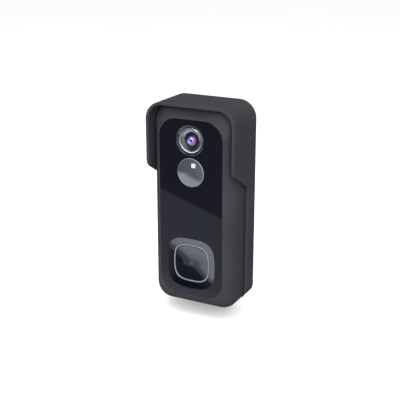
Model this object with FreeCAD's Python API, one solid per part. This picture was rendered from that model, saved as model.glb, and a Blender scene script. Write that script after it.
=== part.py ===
import FreeCAD, Part
import math
import os

# Battery video doorbell in a rain cover, on its wall bracket.
# Millimetres. X to the right as a visitor sees it, +Y into the wall, +Z up.
# The origin is the middle of the cover's back face, which lies on the wall (plane Y = 0).
# A "depth" is always the distance in front of the wall, so depth d lies at Y = -d.

# ---- driving dimensions: the doorbell's body ----
body_half_width = 31.0
body_low = -72.0
body_high = 72.0
body_corner = 10.0
body_back = 5.2
back_edge_chamfer = 0.8
seam_depth = 11.0
wall = 2.0
panel_plane = 33.3
# the pillow-shaped front edge, as the four control points of a curve: (pulled in, depth)
slope_outside = ((0.0, 21.0), (0.0, 28.0), (3.4, 31.2), (6.4, 33.3))
slope_inside = ((2.0, 18.5), (2.0, 25.0), (4.6, 28.0), (7.6, 29.4))
slope_sections = 7
slope_top = 1.15
slope_bottom = 1.27
lip_corner = 13.6

# ---- front panel, and what shows in it ----
panel_half_width = 24.0
panel_low = -63.3
panel_high = 64.0
panel_corner = 13.0
panel_thick = 1.6
panel_gap = 0.15
panel_edge = 0.25
tape_thick = 0.3
tape_width = 3.0
floor_front = panel_plane - panel_thick - tape_thick
floor_back = floor_front - wall
camera_height = 50.2
pir_height = 27.6
button_height = -39.0
squircle_power = 3.2
squircle_points = 32
dish_half = 18.8
dish_sink = 0.9
ring_half = 13.8
ring_line = 0.9
cap_half = 12.75
cap_rim_sink = 1.0
cap_sink = 1.9
cap_back = 30.4
button_travel = 0.35

# ---- rain cover and wall bracket ----
cover_gap = 0.4
cover_wall = 2.2
cover_low = -69.5
cover_low_corner = 10.0
hood_depth = 35.2
flange_depth = 11.9
hood_turn_high = 29.6
hood_turn_low = 15.7
hood_nose_radius = 7.0
flange_turn_radius = 5.0
bracket_front = 4.4
bracket_half_width = 27.0
bracket_half_height = 61.0
wall_screw_height = 30.0
wall_screw_radius = 2.25
wall_screw_head = 4.2
peg_x = 25.0
peg_height = 46.0
peg_half_width = 2.0
peg_half_tall = 4.0
peg_depth = 8.6
peg_gap = 0.3
tab_half_width = 5.0
tab_low = -66.0
tab_high = -64.0
tab_depth = 10.5

# ---- inside the body ----
cell_radius = 9.2
cell_x = 14.5
cell_depth = 16.7
cell_low = -52.0
cell_high = 13.2
strip_thick = 0.2
board_back = 11.5
board_front = 12.7
board_half = 26.0
board_low = 17.0
board_high = 60.5
post_x = 23.0
post_heights = (20.5, 57.0)
camera_board_back = 14.2
camera_board_front = 15.2
lamp_board_back = 26.8
lamp_board_front = 27.6
lamp_places = tuple((x, z) for x in (-17.5, 17.5) for z in (45.0, 56.0))
button_board_back = 25.0
button_board_front = 26.0
web_back = 28.1
web_front = 28.9
switch_front = 27.6
lower_board_back = 12.9
lower_board_front = 14.1
lower_post_x = (-0.5, 16.5)
lower_post_height = -58.5
port_depth = 15.7
usb_x = 13.0
reset_x = 4.8
microphone_x = -1.6
flap_left = 1.2
flap_right = 20.2
flap_back = 12.3
flap_front = 19.1
flap_thick = 1.0
flap_gap = 0.2
flap_bead = flap_thick / 2
speaker_x = -13.5
speaker_depth = 15.3
speaker_radius = 6.6
speaker_low = -69.2
speaker_opening = 4.7
mesh_gap = 0.15
mesh_thick = 0.2
lock_screw_depth = 7.9
housing_screw_x = 24.0
housing_screw_height = 65.0
tamper_height = 52.0


# ---- ways of making shapes ----

def V(x, y, z):
    return FreeCAD.Vector(x, y, z)


def block(left, right, back, front, low, high):
    """A box between two X, two depths and two heights."""
    return Part.makeBox(right - left, front - back, high - low, V(left, -front, low))


def rod(x, height, radius, back, front):
    """A round bar that points straight out of the wall."""
    return Part.makeCylinder(radius, front - back, V(x, -back, height), V(0, -1, 0))


def tube(x, height, outer, inner, back, front):
    return rod(x, height, outer, back, front).cut(rod(x, height, inner, back, front))


def cone(x, height, back_radius, front_radius, back, front):
    return Part.makeCone(back_radius, front_radius, front - back, V(x, -back, height), V(0, -1, 0))


def post(x, depth, radius, low, high):
    """A round bar that stands upright."""
    return Part.makeCylinder(radius, high - low, V(x, -depth, low), V(0, 0, 1))


def turned(x, height, profile):
    """A solid of revolution about a line out of the wall, from (radius, depth) points."""
    wire = Part.makePolygon([V(x + r, -d, height) for r, d in profile + profile[:1]])
    return Part.Face(wire).revolve(V(x, 0, height), V(0, -1, 0), 360)


def rounded_wire(half_width, low, high, depth, low_corner, high_corner=None):
    """A standing rounded rectangle, as one closed wire."""
    high_corner = high_corner or low_corner
    corners = ((1, low + low_corner, low_corner, -90), (1, high - high_corner, high_corner, 0),
               (-1, high - high_corner, high_corner, 90), (-1, low + low_corner, low_corner, 180))
    arcs = []
    for side, centre_z, radius, start in corners:
        centre_x = side * (half_width - radius)
        points = []
        for angle in (start, start + 45, start + 90):
            turn = math.radians(angle)
            points.append(V(centre_x + radius * math.cos(turn), -depth,
                            centre_z + radius * math.sin(turn)))
        arcs.append(points)
    edges = []
    for points, following in zip(arcs, arcs[1:] + arcs[:1]):
        edges.append(Part.Arc(*points).toShape())
        edges.append(Part.makeLine(points[2], following[0]))
    return Part.Wire(edges)


def squircle_wire(half, depth):
    """The button's outline, a standing superellipse, as one closed smooth wire."""
    points = []
    for index in range(squircle_points):
        turn = 2 * math.pi * index / squircle_points
        across = math.cos(turn)
        up = math.sin(turn)
        x = half * math.copysign(abs(across) ** (2 / squircle_power), across)
        z = half * math.copysign(abs(up) ** (2 / squircle_power), up)
        points.append(V(x, -depth, button_height + z))
    curve = Part.BSplineCurve()
    curve.interpolate(points, PeriodicFlag=True)
    return Part.Wire([curve.toShape()])


def slab(wire, thickness):
    """A flat plate that starts at the wire and runs out of the wall."""
    return Part.Face(wire).extrude(V(0, -thickness, 0))


def squircle_slab(half, back, front):
    return slab(squircle_wire(half, back), front - back)


def squircle_bowl(sections):
    """A solid between squircles, given as (half size, depth) pairs."""
    return Part.makeLoft([squircle_wire(half, depth) for half, depth in sections], True, True)


def body_wire(shrink, slope, depth, corner):
    """The body's outline shrunk evenly, then by the slope, which is wider at head and foot."""
    return rounded_wire(body_half_width - shrink - slope, body_low + shrink + slope * slope_bottom,
                        body_high - shrink - slope * slope_top, depth, corner)


def body_slab(shrink, back, front):
    """A prism of the doorbell's outline, with its wall thickness taken off all round."""
    outline = rounded_wire(body_half_width - shrink, body_low + shrink, body_high - shrink, back,
                           body_corner - shrink)
    return slab(outline, front - back)


def on_curve(points, t):
    """A point on the cubic curve of four control points."""
    weights = ((1 - t) ** 3, 3 * t * (1 - t) ** 2, 3 * t * t * (1 - t), t ** 3)
    return tuple(sum(w * p[axis] for w, p in zip(weights, points)) for axis in (0, 1))


def pillow_front(curve, back):
    """The body's outline from one depth forward, ending in its pillow-shaped slope."""
    shrink = curve[0][0]
    widest = curve[-1][0] - shrink
    wires = [body_wire(shrink, 0, back, body_corner - shrink)]
    for index in range(slope_sections):
        pulled_in, depth = on_curve(curve, index / (slope_sections - 1))
        slope = pulled_in - shrink
        corner = body_corner + (lip_corner - body_corner) * slope / widest - shrink
        wires.append(body_wire(shrink, slope, depth, corner))
    return Part.makeLoft(wires, True, True)


def joined(shapes):
    return shapes[0].fuse(list(shapes[1:])).removeSplitter()


def rimmed(shape, depth, size):
    """Takes a small chamfer off every edge that lies flat at one depth."""
    edges = [edge for edge in shape.Edges
             if abs(edge.BoundBox.YMin + depth) < 0.001 and abs(edge.BoundBox.YMax + depth) < 0.001]
    return shape.makeChamfer(size, edges)


def edges_across(shape, depth, height):
    """The edges along X at one depth and height."""
    return [edge for edge in shape.Edges
            if all(abs(v.Point.y + depth) < 0.01 and abs(v.Point.z - height) < 0.01
                   for v in edge.Vertexes)]


def four(x, height):
    """The places of four like things, mirrored to both sides and both ends."""
    return [(side * x, end * height) for side in (-1, 1) for end in (-1, 1)]


# ---- rain cover and wall bracket ----

def rain_cover():
    half = body_half_width + cover_gap + cover_wall
    high = body_high + cover_gap + cover_wall
    corner = body_corner + cover_gap
    outline = rounded_wire(half, cover_low, high, 0, cover_low_corner, corner + cover_wall)
    hollow = rounded_wire(half - cover_wall, body_low - cover_gap, high - cover_wall, cover_wall,
                          corner)
    shell = slab(outline, hood_depth).cut(slab(hollow, hood_depth))
    below = cover_low - hood_depth
    beyond = 2 * hood_depth
    profile = ((flange_depth, below), (flange_depth, hood_turn_low), (hood_depth, hood_turn_high),
               (beyond, hood_turn_high), (beyond, below), (flange_depth, below))
    side = Part.makePolygon([V(-2 * half, -depth, height) for depth, height in profile])
    front_space = Part.Face(side).extrude(V(4 * half, 0, 0))
    front_space = front_space.makeFillet(
        flange_turn_radius, edges_across(front_space, flange_depth, hood_turn_low))
    shell = shell.cut(front_space)
    shell = shell.makeFillet(hood_nose_radius, edges_across(shell, hood_depth, hood_turn_high))
    for end in (-1, 1):
        shell = shell.cut(rod(0, end * wall_screw_height, wall_screw_radius, 0, cover_wall))
    return shell


def wall_bracket():
    plate = slab(rounded_wire(bracket_half_width, -bracket_half_height, bracket_half_height,
                              cover_wall, 8.0), bracket_front - cover_wall)
    tongue = block(-7, 7, cover_wall, bracket_front, tab_low, -55)
    tab = block(-tab_half_width, tab_half_width, cover_wall, tab_depth, tab_low, tab_high)
    pegs = [block(x - peg_half_width, x + peg_half_width, cover_wall, peg_depth,
                  z - peg_half_tall, z + peg_half_tall) for x, z in four(peg_x, peg_height)]
    bracket = joined([plate, tongue, tab] + pegs)
    for end in (-1, 1):
        place = end * wall_screw_height
        window = rounded_wire(7.0, end * 41.5 - 4.5, end * 41.5 + 4.5, cover_wall, 3.0)
        bracket = bracket.cut(slab(window, bracket_front - cover_wall))
        bracket = bracket.cut(rod(0, place, wall_screw_radius, cover_wall, bracket_front))
        bracket = bracket.cut(cone(0, place, wall_screw_radius, wall_screw_head,
                                   bracket_front - 1.8, bracket_front))
    return bracket


# ---- the body's two halves and what closes them ----

def housing_seal():
    ring = body_slab(0.7, seam_depth - 0.5, seam_depth + 0.5)
    return ring.cut(body_slab(1.4, seam_depth - 0.5, seam_depth + 0.5))


def rear_housing():
    shell = rimmed(body_slab(0, body_back, seam_depth), body_back, back_edge_chamfer)
    shell = shell.cut(body_slab(wall, body_back + wall, seam_depth))
    inside = body_back + wall
    added = [rod(x, z, 3.4, inside - 0.5, seam_depth)
             for x, z in four(housing_screw_x, housing_screw_height)]
    added += [block(min(x * 0.86, x * 1.18), max(x * 0.86, x * 1.18), inside - 0.5, peg_depth + 1.6,
                    z - peg_half_tall - 1.5, z + peg_half_tall + 1.5)
              for x, z in four(peg_x, peg_height)]
    added += [rod(side * post_x, z, 2.3, inside - 0.5, board_back)
              for side in (-1, 1) for z in post_heights]
    added += [rod(x, lower_post_height, 2.2, inside - 0.5, lower_board_back) for x in lower_post_x]
    added.append(block(-tab_half_width - 1.6, tab_half_width + 1.6, inside - 0.5, tab_depth + 1.6,
                       tab_low - 1.6, tab_high + 1.6))
    added.append(post(0, lock_screw_depth, 3.0, body_low + wall, tab_low - 0.4))
    shell = joined([shell] + added)
    taken = [rod(x, z, 2.7, 0, 6.6) for x, z in four(housing_screw_x, housing_screw_height)]
    taken += [rod(x, z, 1.4, 0, seam_depth) for x, z in four(housing_screw_x, housing_screw_height)]
    taken += [block(x - peg_half_width - peg_gap, x + peg_half_width + peg_gap, 0,
                    peg_depth + peg_gap, z - peg_half_tall - peg_gap, z + peg_half_tall + peg_gap)
              for x, z in four(peg_x, peg_height)]
    taken += [rod(side * post_x, z, 0.9, 8.2, board_back)
              for side in (-1, 1) for z in post_heights]
    taken += [rod(x, lower_post_height, 0.9, 9.4, lower_board_back) for x in lower_post_x]
    taken.append(block(-tab_half_width - 0.4, tab_half_width + 0.4, 0, tab_depth + 0.4,
                       tab_low - 0.4, tab_high + 0.4))
    taken.append(post(0, lock_screw_depth, 2.6, body_low - 1, body_low + 1.6))
    taken.append(post(0, lock_screw_depth, 1.6, body_low, tab_low - 0.2))
    taken.append(rod(0, tamper_height, 1.7, 0, inside))
    return shell.cut(taken).cut(housing_seal())


def speaker_holes():
    """A hexagon of small sound holes in the body's foot."""
    pitch = 2.0
    holes = []
    for row in range(-2, 3):
        for place in range(5 - abs(row)):
            x = speaker_x + (place - (4 - abs(row)) / 2) * pitch
            depth = speaker_depth + row * pitch * math.sqrt(3) / 2
            holes.append(post(x, depth, 0.6, body_low - 1, body_low + wall + 1))
    return holes


def front_housing():
    shell = pillow_front(slope_outside, seam_depth).cut(pillow_front(slope_inside, seam_depth))
    outer = pillow_front(slope_outside, seam_depth)
    bosses = [rod(x, z, 3.0, seam_depth, floor_back).common(outer)
              for x, z in four(housing_screw_x, housing_screw_height)]
    shell = joined([shell] + bosses)
    recess = rounded_wire(panel_half_width + panel_gap, panel_low - panel_gap,
                          panel_high + panel_gap, floor_front, panel_corner + panel_gap)
    taken = [slab(recess, wall)]
    taken += [rod(x, z, 1.2, seam_depth, 18) for x, z in four(housing_screw_x, housing_screw_height)]
    taken.append(rod(0, camera_height, 8.9, lamp_board_front, panel_plane))
    taken.append(rod(0, pir_height, 10.3, lamp_board_front, panel_plane))
    taken.append(squircle_slab(ring_half + 0.7, lamp_board_front, panel_plane))
    taken += [rod(x, z, 2.4, lamp_board_front, panel_plane) for x, z in lamp_places]
    taken.append(block(flap_left - flap_gap, flap_right + flap_gap, flap_back - flap_gap,
                       flap_front + flap_gap, body_low - 1, body_low + flap_thick + 0.1))
    taken.append(block(usb_x - 4.8, usb_x + 4.8, port_depth - 2.0, port_depth + 2.0,
                       body_low, body_low + wall + 0.5))
    taken.append(post(reset_x, port_depth, 1.3, body_low, body_low + wall + 0.5))
    taken.append(post(microphone_x, port_depth, 0.6, body_low - 1, body_low + wall + 0.5))
    return shell.cut(taken + speaker_holes()).cut(housing_seal())


def housing_screws():
    return Part.makeCompound([
        rod(x, z, 2.4, 5.4, 6.6).fuse(rod(x, z, 1.2, 6.6, 17)).cut(rod(x, z, 0.9, 5.4, 6.1))
        for x, z in four(housing_screw_x, housing_screw_height)])


def lock_screw():
    """The screw in the foot whose tip bears on the bracket's tab."""
    head = post(0, lock_screw_depth, 2.4, body_low + 0.2, body_low + 1.6)
    shank = post(0, lock_screw_depth, 1.5, body_low + 1.6, tab_low - 0.35)
    return head.fuse(shank).cut(post(0, lock_screw_depth, 1.1, body_low, body_low + 1.1))


def panel_blank(pulled_in, back, front):
    return slab(rounded_wire(panel_half_width - pulled_in, panel_low + pulled_in,
                             panel_high - pulled_in, back, panel_corner - pulled_in),
                front - back)


def front_panel():
    panel = panel_blank(0, floor_front + tape_thick, panel_plane)
    panel = panel.cut([rod(0, camera_height, 10.75, floor_front, panel_plane),
                       rod(0, pir_height, 10.25, floor_front, panel_plane),
                       squircle_slab(dish_half + panel_gap, floor_front, panel_plane)])
    return rimmed(panel, panel_plane, panel_edge)


def panel_tape():
    front = floor_front + tape_thick
    band = panel_blank(0.6, floor_front, front)
    return band.cut([panel_blank(0.6 + tape_width, floor_front, front),
                     rod(0, camera_height, 10.75, floor_front, front)])


# ---- camera ----

def camera_ring():
    return turned(0, camera_height, [(8.75, floor_front), (10.6, floor_front), (10.6, 33.6),
                                     (10.2, 34.0), (9.7, 34.0), (8.75, 33.2)])


def chrome_ring():
    return turned(0, camera_height, [(7.5, 31.0), (8.65, 31.0), (8.65, 33.1), (8.2, 33.3),
                                     (7.5, 32.5)])


def lens_cone():
    return turned(0, camera_height, [(4.7, 30.7), (7.4, 30.7), (7.4, 32.6), (7.0, 32.6),
                                     (6.6, 32.1), (6.0, 32.1), (5.6, 31.6), (5.2, 31.6),
                                     (4.7, 31.2)])


def lens_barrel():
    return turned(0, camera_height, [(5.2, 20.0), (7.0, 20.0), (7.0, 30.5), (4.6, 30.5),
                                     (4.6, 32.2), (4.2, 32.2), (4.2, 30.0), (5.2, 30.0)])


def lens(radius, back_edge, front_edge, back_bulge, front_bulge):
    """A round glass between two spherical caps; a negative bulge is hollow."""
    middle = (back_edge + front_edge) / 2
    disc = rod(0, camera_height, radius, back_edge, front_edge)
    for edge, bulge, outward in ((back_edge, back_bulge, -1), (front_edge, front_bulge, 1)):
        if bulge == 0:
            continue
        ball_radius = (radius ** 2 + bulge ** 2) / (2 * abs(bulge))
        apex = edge + outward * bulge
        centre = apex - outward * math.copysign(ball_radius, bulge)
        ball = Part.makeSphere(ball_radius, V(0, -centre, camera_height))
        if bulge < 0:
            disc = disc.cut(ball)
        else:
            tall = rod(0, camera_height, radius, min(middle, apex), max(middle, apex))
            disc = disc.fuse(tall.common(ball))
    return disc.removeSplitter()


def front_lens():
    return lens(4.2, 30.1, 31.9, 0, 1.1)


def middle_lens():
    return lens(5.2, 25.4, 28.4, -0.8, -0.6)


def rear_lens():
    return lens(5.2, 21.0, 23.6, 0.5, 0.8)


def lens_holder():
    base = block(-8.5, 8.5, camera_board_front, 20, camera_height - 8.5, camera_height + 8.5)
    collar = rod(0, camera_height, 8.3, 20, 26)
    holder = base.fuse(collar).removeSplitter()
    room = block(-6, 6, camera_board_front, 18.5, camera_height - 6, camera_height + 6)
    return holder.cut([room, rod(0, camera_height, 5.6, 18.5, 20), rod(0, camera_height, 7.0, 20, 26)])


def ir_filter():
    return block(-4.5, 4.5, 17.2, 17.8, camera_height - 4.5, camera_height + 4.5).fuse(
        block(-6, 6, 17.8, 18.5, camera_height - 6, camera_height + 6).cut(
            rod(0, camera_height, 4.2, 17.8, 18.5)))


def image_sensor():
    return block(-4.2, 4.2, camera_board_front, 16.3, camera_height - 3.4, camera_height + 3.4)


def camera_board():
    board = block(-12.5, 12.5, camera_board_back, camera_board_front,
                  camera_height - 12.5, camera_height + 12.5)
    upright = [edge for edge in board.Edges if edge.BoundBox.YLength > 0.5]
    return board.makeFillet(1.5, upright)


def camera_spacers():
    return Part.makeCompound([rod(x, camera_height + up, 1.6, board_front, camera_board_back)
                              for x in (-10.5, 10.5) for up in (-10.5, 8.5)])


def camera_ribbon():
    """The flat cable under the camera board, with its plug on the main board."""
    plug = block(-5, 5, board_front, 13.9, 33, 36)
    return plug.fuse(block(-4, 4, 13.9, camera_board_back, 34, 41)).removeSplitter()


def lamp_board():
    outline = rounded_wire(21.5, 40.2, 62.5, lamp_board_back, 7.0)
    board = slab(outline, lamp_board_front - lamp_board_back)
    return board.cut(rod(0, camera_height, 9.0, lamp_board_back, lamp_board_front))


def ir_lamps():
    lamps = []
    for x, z in lamp_places:
        case = block(x - 1.75, x + 1.75, lamp_board_front, 28.6, z - 1.75, z + 1.75)
        dome = Part.makeSphere(1.5, V(x, -28.6, z)).cut(block(x - 2, x + 2, 26, 28.6, z - 2, z + 2))
        lamps.append(case.fuse(dome).removeSplitter())
    return Part.makeCompound(lamps)


# ---- motion sensor ----

def pir_lens():
    rise = 1.8
    radius = 10.1
    ball_radius = (radius ** 2 + rise ** 2) / (2 * rise)
    centre = panel_plane + rise - ball_radius
    shell = rod(0, pir_height, radius, floor_back, panel_plane + rise).common(
        Part.makeSphere(ball_radius, V(0, -centre, pir_height)))
    shell = shell.fuse(rod(0, pir_height, 11.5, floor_back - 0.9, floor_back))
    hollow = rod(0, pir_height, radius - 1.1, floor_back - 0.9, panel_plane + rise).common(
        Part.makeSphere(ball_radius - 1.1, V(0, -centre, pir_height)))
    return shell.cut(hollow).removeSplitter()


def pir_shroud():
    outer = cone(0, pir_height, 5.7, 10.4, 15.0, 28.3)
    return outer.cut(cone(0, pir_height, 4.9, 9.6, 15.0, 28.3))


def pir_sensor():
    can = rod(0, pir_height, 5.0, board_front, 13.3).fuse(
        rod(0, pir_height, 4.55, board_front, 16.9)).removeSplitter()
    can = can.cut(block(-2.0, 2.0, 16.5, 16.9, pir_height - 1.6, pir_height + 1.6))
    window = block(-2.0, 2.0, 16.5, 16.8, pir_height - 1.6, pir_height + 1.6)
    return Part.makeCompound([can, window])


# ---- push button ----

def button_dish():
    dish = squircle_slab(dish_half, floor_front, panel_plane)
    bowl = squircle_bowl([(dish_half - 0.2, panel_plane),
                          (ring_half, panel_plane - dish_sink)])
    return dish.cut([squircle_slab(ring_half + panel_gap, floor_front, panel_plane), bowl])


def light_ring():
    """The light guide: a flange behind the floor and a thin rim that shows round the cap."""
    rim = squircle_slab(ring_half, web_back, panel_plane - dish_sink + 0.1)
    rim = rim.cut(squircle_slab(ring_half - ring_line, web_front, panel_plane))
    flange = squircle_slab(16.0, web_back, web_front)
    guide = rim.fuse(flange).removeSplitter()
    return guide.cut(rod(0, button_height, 6.5, web_back, web_front))


def button_gasket():
    ring = squircle_slab(16.0, web_front, floor_back)
    return ring.cut(squircle_slab(ring_half + 0.3, web_front, floor_back))


def button_pad():
    pad = squircle_slab(12.4, web_front, 30.0)
    return pad.cut(rod(0, button_height, 7.5, web_front, 30.0))


def button_cap():
    cap = squircle_slab(cap_half, cap_back, panel_plane - cap_rim_sink)
    hollow = squircle_bowl([(cap_half, panel_plane - cap_rim_sink),
                            (9.0, panel_plane - 1.45),
                            (5.0, panel_plane - 1.75),
                            (1.0, panel_plane - cap_sink)])
    stem = rod(0, button_height, 1.6, 28.15, cap_back)
    return cap.cut(hollow).fuse(stem).removeSplitter()


def button_board():
    board = block(-9.4, 9.4, button_board_back, button_board_front,
                  button_height - 12, button_height + 12)
    return board


def ring_lamps():
    return Part.makeCompound([
        block(x - 0.8, x + 0.8, button_board_front, 26.7, button_height + z - 0.8,
              button_height + z + 0.8) for x, z in four(6.5, 8.0)])


def switch_body():
    case = block(-2.6, 2.6, button_board_front, switch_front,
                 button_height - 2.6, button_height + 2.6)
    return case.cut(rod(0, button_height, 1.1, 26.4, switch_front))


def switch_plunger():
    return rod(0, button_height, 1.0, 26.9, 28.1)


def button_ribbon():
    run = block(-3, 3, button_board_front, 26.15, -30, 16.75)
    drop = block(-3, 3, board_front, 26.15, 16.6, 16.75)
    foot = block(-3, 3, board_front, 12.85, 16.6, 19)
    return joined([run, drop, foot])


# ---- electronics ----

def main_board():
    board = slab(rounded_wire(board_half, board_low, board_high, board_back, 2.0),
                 board_front - board_back)
    return board.cut([rod(side * post_x, z, 1.1, board_back, board_front)
                      for side in (-1, 1) for z in post_heights])


def board_chips():
    return Part.makeCompound([block(-19, -8, board_front, 13.8, 22, 33),
                              block(-21, -13, board_front, 13.5, 36, 46),
                              block(12, 17, board_front, 13.6, 40, 45)])


def wifi_module():
    base = block(8, 20, board_front, 13.4, 20, 36)
    can = block(8.6, 19.4, 13.4, 15.2, 20.6, 31)
    return base.fuse(can).removeSplitter()


def antenna():
    return block(-20, 20, 13, 18, 68.7, 69.0)


def antenna_lead():
    return post(17.5, 15.75, 0.55, 30.0, 68.7)


def board_screw(x, height, seat, tip):
    head = rod(x, height, 2.0, seat, seat + 1.3)
    return head.fuse(rod(x, height, 0.9, tip, seat)).removeSplitter()


def board_screws():
    screws = [board_screw(side * post_x, z, board_front, 8.4)
              for side in (-1, 1) for z in post_heights]
    screws += [board_screw(x, lower_post_height, lower_board_front, 9.6) for x in lower_post_x]
    return Part.makeCompound(screws)


def tamper_switch():
    case = block(-3, 3, 9.0, board_back, tamper_height - 3, tamper_height + 3)
    return case.cut(rod(0, tamper_height, 1.45, 9.0, 11.0))


def tamper_plunger():
    return rod(0, tamper_height, 1.4, 4.75, 9.8)


# ---- battery ----

def cell(x, extra=0.0):
    return post(x, cell_depth, cell_radius + extra, cell_low, cell_high)


def battery_cells():
    cells = []
    for x in (-cell_x, cell_x):
        body = cell(x)
        ends = [edge for edge in body.Edges if edge.BoundBox.ZLength < 0.01]
        cells.append(body.makeFillet(0.8, ends))
    return Part.makeCompound(cells)


def battery_strips():
    """The two nickel strips that join the cells' ends."""
    return Part.makeCompound([
        block(-18, 18, 13.7, 19.7, cell_high, cell_high + strip_thick),
        block(-18, 18, 13.7, 19.7, cell_low - strip_thick, cell_low)])


def battery_cradle():
    inside = body_back + wall
    rib = block(-4, 4, inside, 24.9, -50, 12)
    saddles = [block(-24, 24, inside, 12, z - 2, z + 2) for z in (-32, -4)]
    stops = [block(-20, 20, inside, 13.5, -54, -52.6), block(-20, 20, inside, 13.5, 13.8, 15)]
    keels = [block(-4, 4, inside, 9.5, -54, 15)]
    cradle = joined([rib] + saddles + stops + keels)
    windows = [block(-4, 4, 10.5, 22, z - 6, z + 6) for z in (-18, 3)]
    lead_way = post(-5.0, 9.0, 0.9, -55, 16)
    return cradle.cut([cell(-cell_x, 0.05), cell(cell_x, 0.05), lead_way] + windows)


def lead(x, depth, low, turn_height, end_depth):
    """A battery wire: straight up, then round one bend back to the board."""
    radius = depth - end_depth if depth > end_depth else end_depth - depth
    toward = 1 if depth > end_depth else -1
    centre = V(x, -depth + toward * radius, turn_height)
    start = V(x, -depth, turn_height)
    half_turn = math.radians(45)
    middle = V(x, centre.y - toward * radius * math.cos(half_turn),
               turn_height + radius * math.sin(half_turn))
    end = V(x, -end_depth, turn_height + radius)
    path = Part.Wire([Part.makeLine(V(x, -depth, low), start),
                      Part.Arc(start, middle, end).toShape()])
    section = Part.Wire([Part.makeCircle(0.7, V(x, -depth, low), V(0, 0, 1))])
    return path.makePipeShell([section], True, True)


def battery_leads():
    return Part.makeCompound([
        lead(6.0, 16.0, cell_high + strip_thick, 16.5, board_front),
        lead(-5.0, 9.0, cell_low - strip_thick - 1.5, 14.0, board_back)])


# ---- foot of the body: charging port, reset, microphone, speaker ----

def lower_board():
    board = block(-3.4, 19.4, lower_board_back, lower_board_front, -69.3, -56)
    return board.cut([rod(x, lower_post_height, 1.1, lower_board_back, lower_board_front)
                      for x in lower_post_x])


def usb_socket():
    shell = block(usb_x - 4.5, usb_x + 4.5, lower_board_front, 17.3, -69.8, -62.5)
    along = [edge for edge in shell.Edges if edge.BoundBox.ZLength > 5]
    shell = shell.makeFillet(1.5, along)
    mouth = block(usb_x - 4.1, usb_x + 4.1, lower_board_front + 0.4, 16.9, -69.8, -63.5)
    sides = [edge for edge in mouth.Edges if edge.BoundBox.ZLength > 5]
    shell = shell.cut(mouth.makeFillet(1.1, sides))
    tongue = block(usb_x - 3.3, usb_x + 3.3, port_depth - 0.35, port_depth + 0.35, -69.0, -63.5)
    return Part.makeCompound([shell, tongue])


def usb_flap():
    """A rubber lid with a plug for the port, turning on the round bead along its back edge."""
    bead_depth = flap_back + flap_bead
    lid = block(flap_left, flap_right, bead_depth, flap_front, body_low, body_low + flap_thick)
    corners = [edge for edge in lid.Edges
               if edge.BoundBox.ZLength > 0.5 and edge.BoundBox.YMin < -flap_front + 0.1]
    lid = lid.makeFillet(0.9, corners)
    bead = Part.makeCylinder(flap_bead, flap_right - flap_left,
                             V(flap_left, -bead_depth, body_low + flap_bead), V(1, 0, 0))
    plug = block(usb_x - 4.2, usb_x + 4.2, port_depth - 1.5, port_depth + 1.5,
                 body_low + flap_thick - 0.2, body_low + flap_thick + 0.8)
    return joined([lid, bead, plug])


def reset_switch():
    case = block(reset_x - 2.2, reset_x + 2.2, lower_board_front, 17.3, -68.3, -65)
    return case.cut(post(reset_x, port_depth, 1.1, -68.3, -66.6))


def reset_button():
    return post(reset_x, port_depth, 1.0, -70.7, -67.2)


def microphone():
    return block(microphone_x - 1.6, microphone_x + 1.6, lower_board_front, 17.2, -69.9, -68.7)


def speaker_mesh():
    low = body_low + wall + mesh_gap
    return post(speaker_x, speaker_depth, speaker_opening, low, low + mesh_thick)


def speaker():
    """The basket with its magnet behind and a soft lip that presses on the mesh."""
    mouth = body_low + wall + mesh_gap + mesh_thick
    basket = post(speaker_x, speaker_depth, speaker_radius, speaker_low, speaker_low + 3.6)
    magnet = post(speaker_x, speaker_depth, 4.0, speaker_low + 3.6, speaker_low + 5.0)
    lip = post(speaker_x, speaker_depth, 5.6, mouth, speaker_low)
    whole = joined([basket, magnet, lip])
    return whole.cut([post(speaker_x, speaker_depth, speaker_opening, mouth, speaker_low),
                      post(speaker_x, speaker_depth, speaker_radius - 0.8, speaker_low,
                           speaker_low + 2.0)])


def speaker_cone():
    disc = post(speaker_x, speaker_depth, speaker_radius - 0.85, speaker_low + 0.8,
                speaker_low + 1.2)
    dome = Part.makeCone(3.2, 1.5, 0.6, V(speaker_x, -speaker_depth, speaker_low + 1.2), V(0, 0, 1))
    return disc.fuse(dome).removeSplitter()


def lower_ribbon():
    """The flat cable up the body's right side, from the lower board to the main board."""
    run = block(28.2, 28.45, board_front, 18, -58, 19)
    foot = block(18.7, 28.45, lower_board_front, lower_board_front + 0.2, -57.5, -56.2)
    head = block(24, 28.45, board_front, board_front + 0.2, 17.5, 19)
    return joined([run, foot, head])


pieces = (rain_cover, wall_bracket,
          rear_housing, front_housing, housing_seal, housing_screws, lock_screw,
          front_panel, panel_tape,
          camera_ring, chrome_ring, lens_cone, lens_barrel, front_lens, middle_lens, rear_lens,
          lens_holder, ir_filter, image_sensor, camera_board, camera_spacers, camera_ribbon,
          lamp_board, ir_lamps, pir_lens, pir_shroud, pir_sensor,
          button_dish, light_ring, button_cap, button_gasket, button_pad, button_board,
          ring_lamps, switch_body, switch_plunger, button_ribbon,
          main_board, board_chips, wifi_module, antenna, antenna_lead, board_screws,
          tamper_switch, tamper_plunger,
          battery_cells, battery_strips, battery_cradle, battery_leads,
          lower_board, usb_socket, usb_flap, reset_switch, reset_button, microphone,
          speaker_mesh, speaker, speaker_cone, lower_ribbon)

os.makedirs("parts", exist_ok=True)
for make_piece in pieces:
    make_piece().exportStep("parts/" + make_piece.__name__ + ".step")
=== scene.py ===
import math

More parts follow.
